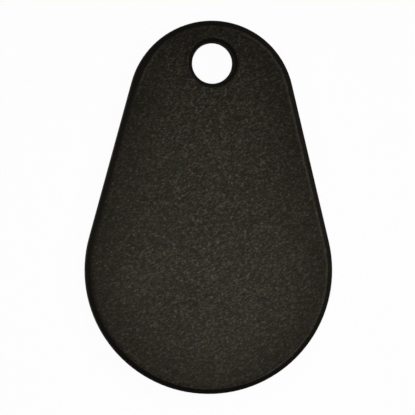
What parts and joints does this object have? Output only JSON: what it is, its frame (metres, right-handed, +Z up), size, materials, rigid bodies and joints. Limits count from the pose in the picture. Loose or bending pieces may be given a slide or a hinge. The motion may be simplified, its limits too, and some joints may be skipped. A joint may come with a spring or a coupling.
{
  "type": "rfid key fob tag",
  "caption": "Pear-shaped contactless key tag in black moulded plastic with a ring hole; welded half shells hold a flat antenna coil and a chip board.",
  "frame": {"origin": "on the surface under the tag, below the middle of its outline", "axes": "+Z up out of the front face, +Y from the wide end to the ring hole, +X to the right seen from the front"},
  "size_m": [0.03, 0.0452, 0.004],
  "materials": {
    "case_plastic": "fine spark-eroded texture on both faces, smooth satin on the rounding, the side wall and the bore",
    "enamelled_copper": null,
    "board_laminate": "green solder mask on glass-epoxy laminate",
    "adhesive_film": "soft, slightly glossy adhesive film",
    "gold_plate": "thin satin gold over copper, and gold wire",
    "silicon": "polished grey silicon",
    "chip_resin": "black epoxy, glossy from its cure",
    "solder": "bright tin solder, slightly frosted"
  },
  "bodies": {
    "root": {"rear_shell": "case_plastic", "front_shell": "case_plastic", "antenna_coil": "enamelled_copper", "coil_lead_start": "enamelled_copper", "coil_lead_finish": "enamelled_copper", "board_adhesive": "adhesive_film", "chip_board": "board_laminate", "contact_pad_start": "gold_plate", "contact_pad_finish": "gold_plate", "chip": "silicon", "bond_wires": "gold_plate", "resin_dome": "chip_resin", "solder_joint_start": "solder", "solder_joint_finish": "solder"}
  },
  "joints": []
}
